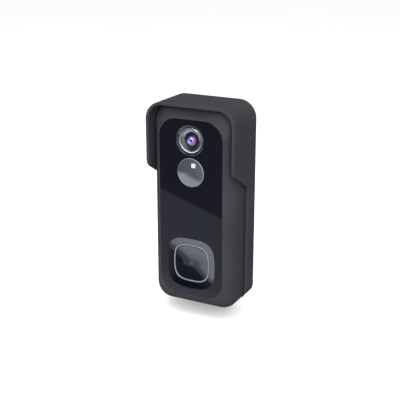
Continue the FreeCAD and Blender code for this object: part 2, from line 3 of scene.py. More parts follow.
import bmesh
import bpy
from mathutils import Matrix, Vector


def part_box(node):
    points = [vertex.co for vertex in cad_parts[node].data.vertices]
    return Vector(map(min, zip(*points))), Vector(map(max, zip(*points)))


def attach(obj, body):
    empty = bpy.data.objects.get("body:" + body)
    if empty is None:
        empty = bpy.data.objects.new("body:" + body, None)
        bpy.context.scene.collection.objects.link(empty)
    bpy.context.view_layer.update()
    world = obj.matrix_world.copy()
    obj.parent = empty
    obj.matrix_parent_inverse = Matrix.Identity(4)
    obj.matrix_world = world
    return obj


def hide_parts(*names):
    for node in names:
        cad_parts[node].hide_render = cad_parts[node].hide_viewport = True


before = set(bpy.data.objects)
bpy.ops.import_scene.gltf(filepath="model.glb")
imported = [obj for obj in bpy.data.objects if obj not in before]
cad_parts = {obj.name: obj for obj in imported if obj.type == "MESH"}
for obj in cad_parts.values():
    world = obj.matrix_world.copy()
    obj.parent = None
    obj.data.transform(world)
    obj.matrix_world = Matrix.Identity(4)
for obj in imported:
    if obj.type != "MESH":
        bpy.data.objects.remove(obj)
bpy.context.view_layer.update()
mm = 0.001

# ---- wall bracket ----
# The plate that is screwed to the wall first, with four pegs and a tab that the doorbell hangs on.
# Moulded in black ABS with a coarse spark finish; its rims are rubbed a little from handling.


def plug(socket, value):
    """Links a socket to another node's output, or sets its value."""
    if isinstance(value, bpy.types.NodeSocket):
        socket.id_data.links.new(value, socket)
    else:
        socket.default_value = value


def feed(node, **values):
    """Plugs a node's sockets by name, with _ for a space."""
    for name, value in values.items():
        plug(node.inputs[name.replace("_", " ")], value)


def add_node(tree, kind, **values):
    """Adds a shader node and plugs its sockets."""
    made = tree.nodes.new("ShaderNode" + kind)
    feed(made, **values)
    return made


def figure(tree, kind, operation, *values):
    """The number that a Math or VectorMath node works out."""
    made = add_node(tree, kind)
    made.operation = operation
    for socket, value in zip(made.inputs, values):
        plug(socket, value)
    return made.outputs["Value"]


def noise(tree, place, scale, detail, **values):
    """A cloudy grey value, finer with a higher scale."""
    return add_node(tree, "TexNoise", Vector=place, Scale=scale, Detail=detail, **values).outputs["Fac"]


def new_finish(name):
    """A material, its node tree, its shader and the place on the piece."""
    material = bpy.data.materials.new(name)
    material.use_nodes = True
    tree = material.node_tree
    place = add_node(tree, "TexCoord").outputs["Object"]
    return material, tree, tree.nodes["Principled BSDF"], place


def shades(tree, share, *colours):
    """A run of colours that a grey value picks from."""
    ramp = add_node(tree, "ValToRGB", Fac=share)
    stops = ramp.color_ramp.elements
    while len(stops) < len(colours):
        stops.new(0.5)
    for index, colour in enumerate(colours):
        stops[index].position = index / (len(colours) - 1)
        stops[index].color = (*colour, 1)
    return ramp.outputs["Color"]


def spread(tree, share, low, high, start=0.0, end=1.0):
    """A grey value moved from one range to another."""
    span = add_node(tree, "MapRange", Value=share, From_Min=start, From_Max=end,
                    To_Min=low, To_Max=high)
    return span.outputs["Result"]


def rubbed_and_highlit_edges(tree, reach):
    """A grey value that is high only on the piece's outer edges."""
    rounded = add_node(tree, "Bevel", Radius=reach)
    rounded.samples = 4
    lean = figure(tree, "VectorMath", "DOT_PRODUCT", rounded.outputs["Normal"],
                  add_node(tree, "NewGeometry").outputs["Normal"])
    return spread(tree, lean, 1.0, 0.0, 0.90, 0.995)


def mixed(tree, share, first, second):
    """One colour laid over another by a grey value."""
    return add_node(tree, "MixRGB", Fac=share, Color1=first, Color2=second).outputs["Color"]


def relief(shader, height, depth):
    """Raises the surface by a grey value."""
    bump = add_node(shader.id_data, "Bump", Strength=1.0, Distance=depth, Height=height)
    feed(shader, Normal=bump.outputs["Normal"])


def moulded_plastic(name, colour, rubbed_and_highlight_colour, roughness, grain, depth, wear_and_highlight_share=0.45, shine=0.5):
    """Spark-finished plastic: fine grain, slow drift of tone, edges lighter where polished by hands,
    and where the edge colour is bright also a painted edge highlight.
    """
    material, tree, shader, place = new_finish(name)
    drift = spread(tree, noise(tree, place, 38, 4), 0, 1, 0.3, 0.7)
    fine = noise(tree, place, grain, 3)
    tone = shades(tree, drift, [c * 0.90 for c in colour], [c * 1.10 for c in colour])
    scuffs = spread(tree, noise(tree, place, 260, 5), 0, wear_and_highlight_share, 0.35, 0.6)
    # lighter edges: rubbed wear, and with a bright edge colour a painted edge highlight
    worn_and_highlit = figure(tree, "Math", "MULTIPLY", rubbed_and_highlit_edges(tree, 0.5 * mm), scuffs)
    feed(shader, Base_Color=mixed(tree, worn_and_highlit, tone, (*rubbed_and_highlight_colour, 1)),
         Roughness=spread(tree, fine, roughness - 0.07, roughness + 0.09, 0.3, 0.7),
         Specular_IOR_Level=shine)
    relief(shader, fine, depth)
    return material


def finish_nodes(material, *names):
    """Gives pieces that keep their exact machined shape their finish."""
    for name in names:
        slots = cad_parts[name].data.materials
        slots.clear()
        slots.append(material)


bracket_plastic = moulded_plastic("bracket_plastic", (0.030, 0.030, 0.033), (0.10, 0.10, 0.105),
                                  0.55, 2600, 0.03 * mm)
finish_nodes(bracket_plastic, "wall_bracket")


# ---- rain cover ----
# One moulding of satin grey-black ABS: a back plate clamped behind the bracket, a deep hood over
# the upper half, and low flanges down the sides below a slanted step. Two screw holes in its back.

cover_low, cover_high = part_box("rain_cover")
cover_wall = -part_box("wall_bracket")[1].y
cover_half = cover_high.x
hood_depth = -cover_low.y
body_low, body_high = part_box("front_housing")
cover_gap = cover_half - cover_wall - body_high.x
cover_low_corner = 10 * mm
cover_high_corner = 12.6 * mm
hollow_corner = cover_high_corner - cover_wall
flange_depth = 11.9 * mm
hood_turn = 29.6 * mm
flange_turn = 15.7 * mm
nose_radius = 7 * mm
turn_radius = 5 * mm
outer_edge = 0.6 * mm
inner_edge = 0.45 * mm
least_wall = 0.6 * mm
foot_edge_inset = 1.3 * mm
corner_steps = 12
edge_steps = 4
slant_steps = 10
wall_screw_heights = (30 * mm, -30 * mm)
wall_screw_radius = 2.25 * mm
screw_hole_edge = 0.2 * mm

slant = math.atan2(hood_depth - flange_depth, hood_turn - flange_turn)
nose_run = nose_radius * math.tan(slant / 2)
turn_run = turn_radius * math.tan(slant / 2)


def front_edge(height):
    """How far the cover's wall stands out at one height, and how steeply that changes."""
    nose = hood_turn + nose_run
    turn = flange_turn - turn_run
    if height >= nose:
        return hood_depth, 0.0
    if height <= turn:
        return flange_depth, 0.0
    if height > hood_turn - nose_run * math.cos(slant):
        rise = nose - height
        out = math.sqrt(nose_radius ** 2 - rise ** 2)
        return hood_depth - nose_radius + out, rise / out
    if height < flange_turn + turn_run * math.cos(slant):
        rise = height - turn
        out = math.sqrt(turn_radius ** 2 - rise ** 2)
        return flange_depth + turn_radius - out, rise / out
    return flange_depth + (height - flange_turn) * math.tan(slant), math.tan(slant)


def side_stops():
    """Heights along the cover's sides, close together round the hood's nose and the turn."""
    angles = [slant * step / slant_steps for step in range(slant_steps + 1)]
    turn = [flange_turn - turn_run + turn_radius * math.sin(a) for a in angles]
    nose = [hood_turn + nose_run - nose_radius * math.sin(a) for a in reversed(angles)]
    return turn + nose


def outline(half_width, low, high, low_corner, high_corner, stops=()):
    """Points (x, z) round a standing rounded rectangle, from the foot's right end up and round."""
    corners = ((1, low + low_corner, low_corner, -90), (1, high - high_corner, high_corner, 0),
               (-1, high - high_corner, high_corner, 90), (-1, low + low_corner, low_corner, 180))
    points = []
    for number, (side, centre, radius, start) in enumerate(corners):
        for step in range(corner_steps + 1):
            turn = math.radians(start + 90 * step / corner_steps)
            points.append((side * (half_width - radius) + radius * math.cos(turn),
                           centre + radius * math.sin(turn)))
        if number == 0:
            points += [(half_width, z) for z in stops]
        if number == 2:
            points += [(-half_width, z) for z in reversed(stops)]
    return points


def join(bm, ring, after, first=0):
    """Four-sided faces between two loops; counting from 1 leaves the first side open."""
    for index in range(first, len(ring)):
        face = bm.faces.new((ring[index - 1], ring[index], after[index], after[index - 1]))
        face.smooth = True


def loft(rings, closed=False, bm=None):
    """Joins rings of equally many points, in a new mesh or in one that is begun."""
    if bm is None:
        bm = bmesh.new()
    made = [[bm.verts.new(point) for point in ring] for ring in rings]
    for ring, after in zip(made, made[1:] + made[:1] if closed else made[1:]):
        join(bm, ring, after)
    return bm, made


def fill_flat(bm, *loops):
    """Closes a flat face between an outline and the holes in it."""
    edges = []
    for loop in loops:
        for pair in zip(loop, loop[1:] + loop[:1]):
            edges.append(bm.edges.get(pair) or bm.edges.new(pair))
    bmesh.ops.triangle_fill(bm, use_beauty=True, use_dissolve=False, edges=edges)


def hole_through(bm, *rings):
    """The wall of a hole, through rings of points; gives back its first and last loop."""
    made = loft(rings, bm=bm)[1]
    return made[0], made[-1]


def circle(radius, depth, height, x=0.0, count=32):
    """A ring of points that faces out of the wall."""
    turns = [2 * math.pi * index / count for index in range(count)]
    return [(x + radius * math.cos(t), -depth, height + radius * math.sin(t)) for t in turns]


def put_in_scene(name, data):
    """A new object that holds a mesh, a light or a camera."""
    thing = bpy.data.objects.new(name, data)
    bpy.context.scene.collection.objects.link(thing)
    return thing


def make_piece(bm, name, material, sharp=32):
    """Turns a finished mesh into a piece; its curved faces are smooth except across sharp edges."""
    bmesh.ops.remove_doubles(bm, verts=bm.verts, dist=0.001 * mm)
    bmesh.ops.recalc_face_normals(bm, faces=bm.faces)
    for edge in bm.edges:
        turn = edge.calc_face_angle(math.pi)
        edge.smooth = turn < math.radians(sharp) and all(face.smooth for face in edge.link_faces)
    mesh = bpy.data.meshes.new(name)
    bm.to_mesh(mesh)
    bm.free()
    mesh.materials.append(material)
    piece = put_in_scene(name, mesh)
    weighted = piece.modifiers.new("flat_faces_stay_flat", "WEIGHTED_NORMAL")
    weighted.keep_sharp = True
    return piece


stops = side_stops()


def cover_outline(inset):
    """Points (x, z) round the cover's outside, pulled in evenly."""
    return outline(cover_half - inset, cover_low.z + inset, cover_high.z - inset,
                   cover_low_corner - inset, cover_high_corner - inset, stops)


outer_points = cover_outline(0)
hollow_half = cover_half - cover_wall
hollow_low = body_low.z - cover_gap
hollow_high = cover_high.z - cover_wall
hollow_points = outline(hollow_half, hollow_low, hollow_high, hollow_corner, hollow_corner, stops)


def has_wall(index):
    """False along the foot, where the hollow runs out past the cover's outline."""
    (x, z), (inside_x, inside_z) = outer_points[index], hollow_points[index]
    if z > cover_low.z + cover_low_corner:
        return True
    turn = math.atan2(z - cover_low.z - cover_low_corner, abs(x) - cover_half + cover_low_corner)
    gap = (abs(x) - abs(inside_x)) * math.cos(turn) + (z - inside_z) * math.sin(turn)
    return gap > least_wall


walled = [has_wall(index) for index in range(len(outer_points))]


def outside_ring(inset, back_off):
    """The cover's outside pulled in, at a distance behind its front edge."""
    ring = []
    for (x, z), wall_here in zip(cover_outline(inset), walled):
        depth, steep = front_edge(z) if wall_here else (cover_wall, 0.0)
        ring.append((x, -(depth - back_off * math.sqrt(1 + steep ** 2)), z))
    return ring


def inside_ring(grown, back_off):
    """The hollow's outline grown into the wall, at a distance behind the front edge."""
    ring = []
    points = outline(hollow_half + grown, hollow_low - grown, hollow_high + grown,
                     hollow_corner + grown, hollow_corner + grown, stops)
    foot_points = cover_outline(foot_edge_inset - grown)
    for (x, z), (foot_x, foot_z), wall_here in zip(points, foot_points, walled):
        if wall_here:
            depth, steep = front_edge(z)
            depth = max(depth - back_off * math.sqrt(1 + steep ** 2), cover_wall)
            ring.append((x, -depth, z))
        else:
            ring.append((foot_x, -cover_wall, foot_z))
    return ring


def quarter(steps):
    """(how far in, how far back) round a unit quarter circle, from the side to the front."""
    turns = [math.pi / 2 * step / steps for step in range(steps + 1)]
    return [(1 - math.cos(t), 1 - math.sin(t)) for t in turns]


rings = []
for pulled_in, back in reversed(quarter(edge_steps)):
    rings.append([(x, -back * outer_edge, z) for x, z in cover_outline(pulled_in * outer_edge)])
rings += [outside_ring(a * outer_edge, b * outer_edge) for a, b in quarter(edge_steps)]
rings += [inside_ring(a * inner_edge, b * inner_edge) for a, b in reversed(quarter(edge_steps))]
rings.append([(x, -cover_wall, z) for x, _, z in inside_ring(0, hood_depth)])
bm, made = loft(rings)
back_holes, front_holes = [], []
for height in wall_screw_heights:
    back, front = hole_through(bm, circle(wall_screw_radius + screw_hole_edge, 0, height),
                               circle(wall_screw_radius, screw_hole_edge, height),
                               circle(wall_screw_radius, cover_wall, height))
    back_holes.append(back)
    front_holes.append(front)
fill_flat(bm, made[0], *back_holes)
fill_flat(bm, made[-1], *front_holes)
cover_plastic = moulded_plastic("cover_plastic", (0.034, 0.0335, 0.039), (0.075, 0.075, 0.08),
                                0.50, 2400, 0.022 * mm, shine=0.1)
cover = make_piece(bm, "rain_cover_shell", cover_plastic)
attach(cover, "mount_set")
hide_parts("rain_cover")


# ---- rear housing ----
# The back half of the body, pocketed for the bracket's pegs and tab. Same satin ABS as the front
# half, closed on a silicone cord by four self-tapping screws; one lock screw comes in by the foot.

housing_plastic = moulded_plastic("housing_plastic", (0.034, 0.0335, 0.039), (0.08, 0.08, 0.085),
                                  0.48, 2400, 0.020 * mm, shine=0.1)
finish_nodes(housing_plastic, "rear_housing")


def soft_rubber(name, colour, roughness):
    """Dusty moulded rubber, with a faint bloom in patches."""
    material, tree, shader, place = new_finish(name)
    bloom = noise(tree, place, 320, 5)
    feed(shader, Base_Color=shades(tree, bloom, colour, [c * 1.35 + 0.004 for c in colour]),
         Roughness=spread(tree, bloom, roughness - 0.1, roughness + 0.1), Sheen_Weight=0.15)
    relief(shader, noise(tree, place, 4200, 2), 0.012 * mm)
    return material


def bare_metal(name, colour, roughness):
    """Plated or rolled metal, with fine drawn lines and a slow change of polish."""
    material, tree, shader, place = new_finish(name)
    stretch = add_node(tree, "Mapping", Vector=place, Scale=(600, 600, 9000)).outputs["Vector"]
    lines = noise(tree, stretch, 1, 3)
    cloud = noise(tree, place, 220, 3)
    feed(shader, Base_Color=shades(tree, cloud, [c * 0.85 for c in colour], colour), Metallic=1.0,
         Roughness=spread(tree, lines, roughness - 0.08, roughness + 0.1))
    relief(shader, lines, 0.004 * mm)
    return material


silicone = soft_rubber("silicone", (0.10, 0.10, 0.105), 0.55)
screw_steel = bare_metal("screw_steel", (0.55, 0.54, 0.52), 0.32)
finish_nodes(silicone, "housing_seal", "button_gasket", "button_pad")
finish_nodes(screw_steel, "housing_screws", "lock_screw", "board_screws")


# ---- battery ----
# Two round lithium cells in a moulded cradle, joined by spot-welded nickel strips. Two insulated
# leads run up to the main board.

cell_wrap = moulded_plastic("cell_wrap", (0.045, 0.13, 0.24), (0.2, 0.3, 0.4), 0.28, 900, 0.006 * mm)
nickel = bare_metal("nickel", (0.62, 0.60, 0.55), 0.28)
cradle_plastic = moulded_plastic("cradle_plastic", (0.055, 0.055, 0.06), (0.12, 0.12, 0.12),
                                 0.55, 2000, 0.02 * mm)
lead_rubber = soft_rubber("lead_insulation", (0.35, 0.02, 0.018), 0.42)
finish_nodes(cell_wrap, "battery_cells")
finish_nodes(nickel, "battery_strips")
finish_nodes(cradle_plastic, "battery_cradle")
finish_nodes(lead_rubber, "battery_leads", "antenna_lead")


# ---- circuit boards ----
# Green solder-masked glass boards on moulded posts: the main board with its radio module, and small
# boards for the camera, the infrared lamps, the button and the foot. Flat cables join them.


def solder_mask(name, mask, copper):
    """Lacquered board: tracks show through as lighter lines, round pads dot the surface."""
    material, tree, shader, place = new_finish(name)
    bricks = add_node(tree, "TexBrick", Vector=place, Scale=420, Mortar_Size=0.05,
                      Color1=(0, 0, 0, 1), Color2=(0.15, 0.15, 0.15, 1), Mortar=(1, 1, 1, 1))
    tracks = bricks.outputs["Color"]
    pads = add_node(tree, "TexVoronoi", Vector=place, Scale=520).outputs["Distance"]
    via = spread(tree, pads, 1.0, 0.0, 0.10, 0.16)
    body = shades(tree, tracks, mask, [c * 2.1 for c in mask])
    feed(shader, Base_Color=mixed(tree, via, body, (*copper, 1)), Metallic=via,
         Roughness=spread(tree, pads, 0.24, 0.36))
    relief(shader, tracks, 0.02 * mm)
    return material


board_lacquer = solder_mask("board_lacquer", (0.008, 0.065, 0.030), (0.75, 0.55, 0.22))
chip_resin = moulded_plastic("chip_resin", (0.018, 0.018, 0.019), (0.05, 0.05, 0.05),
                             0.5, 5200, 0.008 * mm)
shield_tin = bare_metal("shield_tin", (0.60, 0.60, 0.59), 0.38)
ribbon_film = moulded_plastic("ribbon_film", (0.42, 0.24, 0.045), (0.55, 0.35, 0.1),
                              0.3, 1500, 0.004 * mm)
switch_plastic = moulded_plastic("switch_plastic", (0.03, 0.03, 0.032), (0.1, 0.1, 0.1),
                                 0.45, 3000, 0.01 * mm)
plunger_plastic = moulded_plastic("plunger_plastic", (0.55, 0.54, 0.50), (0.7, 0.7, 0.68),
                                  0.38, 3000, 0.008 * mm)
finish_nodes(board_lacquer, "main_board", "camera_board", "lamp_board", "button_board",
             "lower_board")
finish_nodes(chip_resin, "board_chips", "image_sensor", "microphone")
finish_nodes(shield_tin, "wifi_module", "antenna", "usb_socket", "pir_sensor", "camera_spacers")
finish_nodes(ribbon_film, "camera_ribbon", "button_ribbon", "lower_ribbon")
finish_nodes(switch_plastic, "switch_body", "reset_switch", "tamper_switch", "lens_holder")
finish_nodes(plunger_plastic, "switch_plunger", "tamper_plunger", "reset_button")


# ---- lamps ----
# Small clear resin lamps: four infrared ones behind the panel's head and four white ones that feed
# the button's light ring.


def clear_resin(name, colour, roughness):
    """Cast resin, clear, with a slight haze that changes over the piece."""
    material, tree, shader, place = new_finish(name)
    haze = noise(tree, place, 900, 3)
    feed(shader, Base_Color=shades(tree, haze, [c * 0.93 for c in colour], colour),
         Roughness=spread(tree, haze, roughness * 0.6, roughness * 1.4),
         Transmission_Weight=0.85, IOR=1.5)
    relief(shader, haze, 0.004 * mm)
    return material


lamp_resin = clear_resin("lamp_resin", (0.92, 0.93, 0.95), 0.08)
finish_nodes(lamp_resin, "ir_lamps", "ring_lamps")


# ---- speaker ----
# A small round speaker behind the foot's sound holes: black basket, pressed paper cone, and a
# woven dust mesh between it and the holes.


def woven_mesh(name, colour):
    """Fine square weave, with round threads."""
    material, tree, shader, place = new_finish(name)
    threads = []
    for way in "XY":
        bands = add_node(tree, "TexWave", Vector=place, Scale=1400)
        bands.bands_direction = way
        threads.append(bands.outputs["Fac"])
    weave = figure(tree, "Math", "MAXIMUM", *threads)
    feed(shader, Base_Color=shades(tree, weave, [c * 0.2 for c in colour], colour),
         Roughness=spread(tree, weave, 0.9, 0.55))
    relief(shader, weave, 0.05 * mm)
    return material


dust_mesh = woven_mesh("dust_mesh", (0.06, 0.06, 0.062))
cone_paper = soft_rubber("cone_paper", (0.05, 0.047, 0.043), 0.85)
finish_nodes(dust_mesh, "speaker_mesh")
finish_nodes(cone_paper, "speaker_cone")
finish_nodes(switch_plastic, "speaker")


# ---- front housing ----
# The front half of the body: an open box with a pillow-shaped front rim, a recess for the panel,
# windows for the camera, sensor and button, and the openings in its foot. Satin grey-black ABS.

housing_half = body_high.x
housing_corner = 10 * mm
seam_depth = -body_high.y
panel_plane = -body_low.y
housing_wall = 2 * mm
slope_outside = ((0.0, 21.0), (0.0, 28.0), (3.4, 31.2), (6.4, 33.3))
slope_inside = ((0.0, 20.6), (0.0, 25.0), (2.6, 28.0), (5.6, 29.4))
slope_top = 1.15
slope_bottom = 1.27
lip_corner = 13.6 * mm
slope_steps = 16
seam_edge = 0.3 * mm
floor_front = panel_plane - 1.9 * mm
floor_back = floor_front - 2 * mm
panel_low_corner, panel_high_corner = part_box("front_panel")
panel_half = panel_high_corner.x
panel_corner = 13 * mm
panel_gap = 0.15 * mm
ring_half = 13.8 * mm
squircle_power = 3.2
squircle_count = 96
camera_window = 8.9 * mm
sensor_window = 10.3 * mm
ring_window = ring_half + 0.7 * mm
lamp_window = 2.4 * mm
lamp_places = [(side * 17.5 * mm, z * mm) for side in (-1, 1) for z in (45.0, 56.0)]


def middle_of(name):
    """The middle of a piece's box."""
    return sum(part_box(name), Vector()) / 2


camera_height = middle_of("camera_ring").z
pir_height = middle_of("pir_lens").z
button_height = middle_of("button_dish").z


def squircle(half, depth):
    """The button's outline, a standing superellipse, as points."""
    points = []
    for index in range(squircle_count):
        turn = 2 * math.pi * index / squircle_count
        across, up = math.cos(turn), math.sin(turn)
        x = half * math.copysign(abs(across) ** (2 / squircle_power), across)
        z = half * math.copysign(abs(up) ** (2 / squircle_power), up)
        points.append((x, -depth, button_height + z))
    return points


def on_curve(points, t):
    """A point on the cubic curve of four control points, in millimetres."""
    weights = ((1 - t) ** 3, 3 * t * (1 - t) ** 2, 3 * t * t * (1 - t), t ** 3)
    return tuple(sum(w * p[axis] for w, p in zip(weights, points)) for axis in (0, 1))


def body_ring(shrink, slope, depth, corner):
    """The body's outline, shrunk evenly and then by its slope, which is wider at head and foot."""
    points = outline(housing_half - shrink - slope, body_low.z + shrink + slope * slope_bottom,
                     body_high.z - shrink - slope * slope_top, corner, corner)
    return [(x, -depth, z) for x, z in points]


def slope_rings(curve, shrink):
    """Rings up the pillow-shaped rim, outside or inside the wall."""
    rings = []
    for step in range(slope_steps + 1):
        slope, depth = on_curve(curve, step / slope_steps)
        corner = housing_corner + (lip_corner - housing_corner) * slope / curve[-1][0] - shrink
        rings.append(body_ring(shrink, slope * mm, depth * mm, corner))
    return rings


def plain_ring(half, low, high, corner, depth):
    """A standing rounded rectangle at one depth."""
    return [(x, -depth, z) for x, z in outline(half, low, high, corner, corner)]


recess_half = panel_half + panel_gap
recess = (panel_low_corner.z - panel_gap, panel_high_corner.z + panel_gap)
recess_corner = panel_corner + panel_gap
groove = ((0.7 * mm, 0.0), (0.7 * mm, 0.5 * mm), (1.4 * mm, 0.5 * mm), (1.4 * mm, 0.0))
rings = [body_ring(inset, 0, seam_depth + up, housing_corner - inset) for inset, up in
         reversed(groove)]
rings += [body_ring(a * seam_edge, 0, seam_depth + b * seam_edge, housing_corner - a * seam_edge)
          for a, b in reversed(quarter(3))]
foot_outside = len(rings) - 1
rings += slope_rings(slope_outside, 0)
lip_edge = 0.15 * mm
rings.append(plain_ring(recess_half + lip_edge, recess[0] - lip_edge, recess[1] + lip_edge,
                        recess_corner + lip_edge, panel_plane))
rings.append(plain_ring(recess_half, *recess, recess_corner, panel_plane - lip_edge))
rings.append(plain_ring(recess_half, *recess, recess_corner, floor_front))
floor_ring = len(rings) - 1
inside = slope_rings(slope_inside, housing_wall)
inside.reverse()
foot_inside = floor_ring + len(inside)
rings += inside
rings.append(body_ring(housing_wall, 0, seam_depth, housing_corner - housing_wall))

bm = bmesh.new()
made = [[bm.verts.new(point) for point in ring] for ring in rings]
foot_bands = (foot_outside, foot_inside)
for number, (ring, after) in enumerate(zip(made, made[1:] + made[:1])):
    if number != floor_ring:
        join(bm, ring, after, first=1 if number in foot_bands else 0)


def round_window(radius, height, x=0.0, count=48):
    """A round hole through the recess's floor."""
    return hole_through(bm, circle(radius, floor_front, height, x, count),
                        circle(radius, floor_back, height, x, count))


windows = [round_window(camera_window, camera_height), round_window(sensor_window, pir_height),
           hole_through(bm, squircle(ring_window, floor_front), squircle(ring_window, floor_back))]
windows += [round_window(lamp_window, z, x, count=24) for x, z in lamp_places]
fill_flat(bm, made[floor_ring], *[front for front, back in windows])
fill_flat(bm, made[floor_ring + 1], *[back for front, back in windows])

foot = body_low.z
flap_low, flap_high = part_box("usb_flap")
flap_gap = 0.2 * mm
pocket_roof = foot + 1.1 * mm
pocket_corner = 0.9 * mm
port_x = middle_of("usb_socket").x
port_depth = 15.7 * mm
port_half_width = 4.8 * mm
port_half_tall = 2 * mm
port_corner = 1.9 * mm
reset_x = middle_of("reset_button").x
reset_radius = 1.3 * mm
microphone_x = middle_of("microphone").x
speaker_middle = middle_of("speaker_mesh")
sound_pitch = 2 * mm
sound_radius = 0.6 * mm
sound_edge = 0.12 * mm


def foot_circle(x, depth, radius, height, count=14):
    """A ring of points that faces down."""
    turns = [2 * math.pi * index / count for index in range(count)]
    return [(x + radius * math.cos(t), -depth + radius * math.sin(t), height) for t in turns]


def foot_slot(left, right, back, front, corner, height, steps=4):
    """A rounded rectangle that faces down."""
    points = []
    centres = ((right - corner, back + corner), (left + corner, back + corner),
               (left + corner, front - corner), (right - corner, front - corner))
    for (x, depth), start in zip(centres, (0, 90, 180, 270)):
        for step in range(steps + 1):
            turn = math.radians(start + 90 * step / steps)
            points.append((x + corner * math.cos(turn), -depth + corner * math.sin(turn), height))
    return points


inner_foot = foot + housing_wall
through = []
for row in range(-2, 3):
    for place in range(5 - abs(row)):
        x = speaker_middle.x + (place - (4 - abs(row)) / 2) * sound_pitch
        depth = -speaker_middle.y + row * sound_pitch * math.sqrt(3) / 2
        through.append(hole_through(bm, foot_circle(x, depth, sound_radius + sound_edge, foot),
                                    foot_circle(x, depth, sound_radius, foot + sound_edge),
                                    foot_circle(x, depth, sound_radius, inner_foot)))
through.append(hole_through(bm, foot_circle(microphone_x, port_depth, sound_radius, foot),
                            foot_circle(microphone_x, port_depth, sound_radius, inner_foot)))
pocket = (flap_low.x - flap_gap, flap_high.x + flap_gap, -flap_high.y - flap_gap,
          -flap_low.y + flap_gap, pocket_corner)
pocket_mouth, pocket_top = hole_through(bm, foot_slot(*pocket, foot), foot_slot(*pocket, pocket_roof))
port_slot = (port_x - port_half_width, port_x + port_half_width, port_depth - port_half_tall,
             port_depth + port_half_tall, port_corner)
port_mouth, port_inside = hole_through(bm, foot_slot(*port_slot, pocket_roof),
                                       foot_slot(*port_slot, inner_foot))
reset_mouth, reset_inside = hole_through(
    bm, foot_circle(reset_x, port_depth, reset_radius, pocket_roof, count=20),
    foot_circle(reset_x, port_depth, reset_radius, inner_foot, count=20))
fill_flat(bm, pocket_top, port_mouth, reset_mouth)
for number in foot_bands:
    ring, after = made[number], made[number + 1]
    corners = [ring[-1], ring[0], after[0], after[-1]]
    if number == foot_outside:
        fill_flat(bm, corners, pocket_mouth, *[low for low, high in through])
    else:
        fill_flat(bm, corners, port_inside, reset_inside, *[high for low, high in through])
housing = make_piece(bm, "front_housing_shell", housing_plastic)
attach(housing, "doorbell")
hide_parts("front_housing")


# ---- charging flap ----
# A soft rubber lid over the charging port, with a plug that grips the port and a round bead along
# its back edge on which it bends open.

flap_rubber = soft_rubber("flap_rubber", (0.036, 0.036, 0.040), 0.62)
finish_nodes(flap_rubber, "usb_flap")


# ---- camera ----
# Glass lenses in a black barrel, set behind a turned dark funnel. A bright ring and a raised
# gloss-black bezel close it to the panel.


def turned(height, profile, count=96, closed=True):
    """A ring or disc turned about a line out of the wall, from (radius, depth) points."""
    return loft([circle(radius, depth, height, count=count) for radius, depth in profile], closed)


def camera_part(name, material, profile):
    """A ring turned about the camera's middle, from a profile in millimetres."""
    bm = turned(camera_height, [(r * mm, d * mm) for r, d in profile])[0]
    return make_piece(bm, name, material)


def lacquer(name, colour, roughness, ripple, wave, coat=0.0):
    """Polished black plastic: long soft ripples in the surface and faint dust."""
    material, tree, shader, place = new_finish(name)
    slow = noise(tree, place, wave, 1)
    dust = noise(tree, place, 1800, 6, Roughness=0.8)
    feed(shader, Base_Color=shades(tree, slow, [c * 0.85 for c in colour], [c * 1.15 for c in colour]),
         Roughness=spread(tree, dust, roughness, roughness + 0.012, 0.45, 0.75),
         IOR=1.49, Coat_Weight=coat, Coat_Roughness=0.02)
    relief(shader, slow, ripple)
    return material


def about(tree, place, height):
    """Places measured from a line that runs out of the wall."""
    moved = add_node(tree, "Mapping", Vector=place, Location=(0, 0, -height), Scale=(1, 0, 1))
    return moved.outputs["Vector"]


def round_lines(tree, middle, pitch, **values):
    """Fine rings about that line."""
    rings = add_node(tree, "TexWave", Vector=middle, Scale=pitch, **values)
    rings.wave_type = "RINGS"
    rings.rings_direction = "SPHERICAL"
    return rings.outputs["Fac"]


def turned_metal(name, colour, roughness, pitch, depth):
    """Metal turned on a lathe: fine rings about the camera's middle."""
    material, tree, shader, place = new_finish(name)
    lines = round_lines(tree, about(tree, place, camera_height), pitch, Distortion=0.6, Detail=2)
    feed(shader, Base_Color=shades(tree, lines, [c * 0.85 for c in colour], colour), Metallic=1.0,
         Roughness=spread(tree, lines, roughness, roughness + 0.12))
    relief(shader, lines, depth)
    return material


# The bezel's bright edge colour at full share paints thin light outlines along its edges: a painted
# edge highlight, broken up by the scuff noise.
ring_black = moulded_plastic("ring_black", (0.008, 0.009, 0.012), (0.19, 0.19, 0.21),
                             0.16, 5000, 0.001 * mm, wear_and_highlight_share=1.0)
camera_ring = camera_part("camera_bezel", ring_black, (
    (8.75, 31.4), (10.6, 31.4), (10.6, 33.82), (10.57, 33.91), (10.51, 33.97), (10.42, 34.0),
    (9.92, 34.0), (9.84, 33.98), (9.77, 33.93), (9.7, 33.84), (9.3, 33.62), (8.85, 33.3),
    (8.75, 33.2)))
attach(camera_ring, "doorbell")
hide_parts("camera_ring")

ring_chrome = turned_metal("ring_chrome", (0.80, 0.81, 0.84), 0.10, 900, 0.001 * mm)
chrome_ring = camera_part("camera_bright_ring", ring_chrome, (
    (7.5, 31.0), (8.65, 31.0), (8.65, 33.1), (8.63, 33.19), (8.57, 33.225), (8.5, 33.235),
    (8.0, 33.27), (7.7, 33.3), (7.6, 33.28), (7.52, 33.2), (7.5, 33.1)))
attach(chrome_ring, "doorbell")
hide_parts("chrome_ring")

funnel_metal = turned_metal("funnel_metal", (0.22, 0.22, 0.24), 0.26, 700, 0.003 * mm)
funnel = camera_part("camera_funnel", funnel_metal, (
    (4.7, 30.7), (7.4, 30.7), (7.4, 32.55), (7.35, 32.6), (7.15, 32.6), (7.05, 32.5),
    (6.95, 32.5), (6.85, 32.42), (5.5, 31.75), (5.42, 31.65), (5.3, 31.65), (5.2, 31.58),
    (4.75, 31.3), (4.7, 31.2)))
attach(funnel, "doorbell")
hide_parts("lens_cone")

